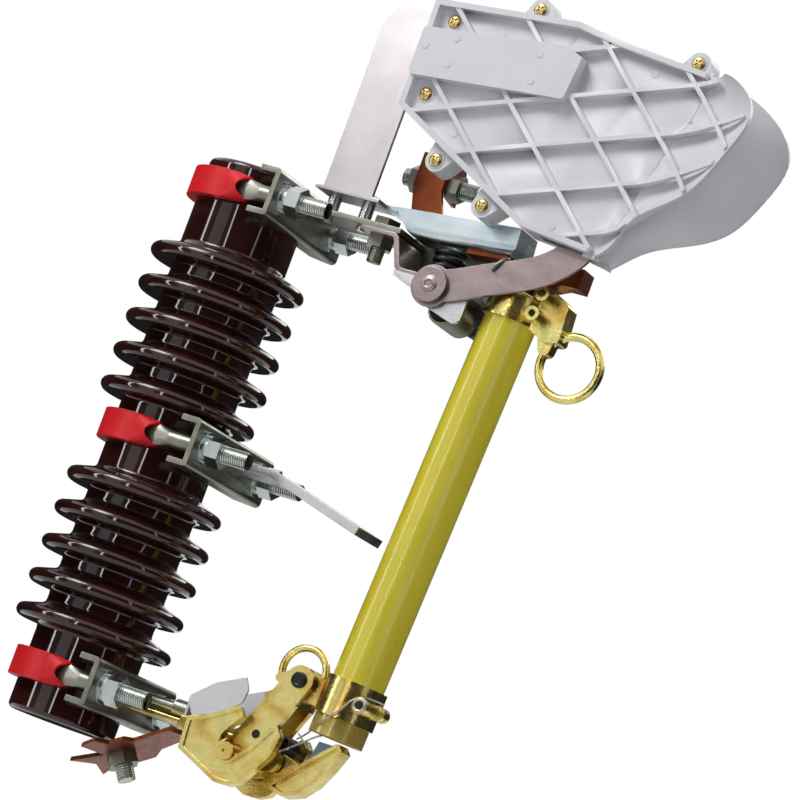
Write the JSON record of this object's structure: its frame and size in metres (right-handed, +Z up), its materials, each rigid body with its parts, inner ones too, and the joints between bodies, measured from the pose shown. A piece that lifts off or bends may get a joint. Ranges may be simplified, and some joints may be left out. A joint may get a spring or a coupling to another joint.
{
  "type": "drop-out fuse cutout",
  "caption": "Outdoor high-voltage fuse cutout: shedded porcelain insulator with three band clamps, hinged fuse tube with pull ring, load-break lever and ribbed arc chute.",
  "frame": {"origin": "centre of the mounting plate's upper flat face, midway between its two bolt holes", "axes": "+Z up along the insulator's axis, +X from the insulator towards the fuse tube, +Y to the side away from the load-break lever"},
  "size_m": [0.4146, 0.1311, 0.5825],
  "materials": {
    "porcelain": "dark brown gloss glaze",
    "galvanised": "zinc plated, dull",
    "bright_steel": "bright zinc plate",
    "black_steel": "black oxide",
    "red_sleeve": "soft red sleeve",
    "white_plastic": "moulded satin white",
    "yellow_tube": "satin yellow-green coat",
    "passivated": "gold passivated casting",
    "copper": "brown copper, dull"
  },
  "bodies": {
    "frame": {"insulator": "porcelain", "upper_hoop": "galvanised", "middle_hoop": "galvanised", "lower_hoop": "galvanised", "upper_sleeve": "red_sleeve", "middle_sleeve": "red_sleeve", "lower_sleeve": "red_sleeve", "upper_channel": "galvanised", "middle_channel": "galvanised", "lower_channel": "galvanised", "upper_clamp_nuts": "galvanised", "middle_clamp_nuts": "galvanised", "lower_clamp_nuts": "galvanised", "mounting_plate": "galvanised", "support_plate": "galvanised", "chute_plate": "bright_steel", "support_bolts": "bright_steel", "upper_arm": "bright_steel", "contact_spring": "black_steel", "lever_strap": "bright_steel", "strap_bolt": "galvanised", "lever_bracket": "bright_steel", "lever_pivot": "bright_steel", "chute_near": "white_plastic", "chute_far": "white_plastic", "near_hook": "passivated", "far_hook": "passivated", "hook_bracket": "passivated", "bracket_bolt": "galvanised", "contact_leaf": "bright_steel", "upper_terminal": "copper", "upper_terminal_bolt": "galvanised", "upper_contact": "copper", "lower_terminal": "copper", "lower_terminal_bolt": "galvanised"},
    "load_break": {"load_break_lever": "bright_steel"},
    "fuse_holder": {"fuse_tube": "yellow_tube", "tube_cap": "passivated", "cap_contact": "copper", "tube_clamp": "passivated", "end_sleeve": "yellow_tube", "lifting_loop": "passivated", "ear_rivet": "passivated", "toggle_link": "passivated", "trunnion_pin": "passivated", "flip_pivot": "passivated"},
    "flipper": {"flip_lever": "passivated"}
  },
  "joints": [
    {"name": "tube_drop", "type": "hinge", "parent": "frame", "child": "fuse_holder", "pos_m": [0.0005, 0, -0.17621], "axis": [0, 1, 0], "range_deg": [0, 125]},
    {"name": "lever_swing", "type": "hinge", "parent": "frame", "child": "load_break", "pos_m": [0.0255, 0, 0.15839], "axis": [0, 1, 0], "range_deg": [0, 60], "stiffness_Nm_per_rad": 0.2, "springref_deg": -51.57},
    {"name": "flip_out", "type": "hinge", "parent": "fuse_holder", "child": "flipper", "pos_m": [0.026, 0, -0.17161], "axis": [0, 1, 0], "range_deg": [0, 30]}
  ]
}
